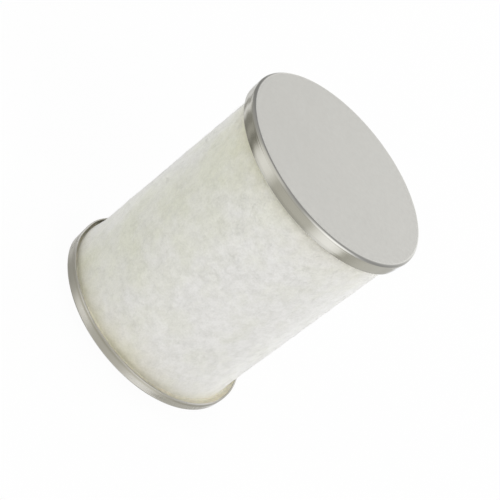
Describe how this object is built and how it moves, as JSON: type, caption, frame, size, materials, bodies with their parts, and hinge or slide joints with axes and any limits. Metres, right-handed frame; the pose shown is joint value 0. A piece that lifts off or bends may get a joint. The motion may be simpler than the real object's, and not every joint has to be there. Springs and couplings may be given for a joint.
{
  "type": "air line filter element",
  "caption": "Cylindrical air line filter element: felt-wrapped pleated cartridge with a blank and an open metal end cap and a flat gasket.",
  "frame": {"origin": "on the axis, at the gasket's sealing face, on which the element stands", "axes": "+Z along the axis, from the open end to the closed end; +X and +Y are free, as the part is round"},
  "size_m": [0.06, 0.06, 0.0758],
  "materials": {
    "cap_stainless": "bright rolled rim and dull matt face, bare stainless sheet",
    "tube_stainless": "mill finish",
    "gasket_rubber": "matt black",
    "felt": "smooth non-woven white felt, faintly mottled",
    "filter_medium": "matt off-white fibre sheet",
    "potting_resin": "tan cast resin"
  },
  "bodies": {
    "root": {"closed_end_cap": "cap_stainless", "open_end_cap": "cap_stainless", "gasket": "gasket_rubber", "felt_sleeve": "felt", "outer_liner": "tube_stainless", "pleated_media": "filter_medium", "inner_core": "tube_stainless", "closed_end_resin": "potting_resin", "open_end_resin": "potting_resin"}
  },
  "joints": []
}
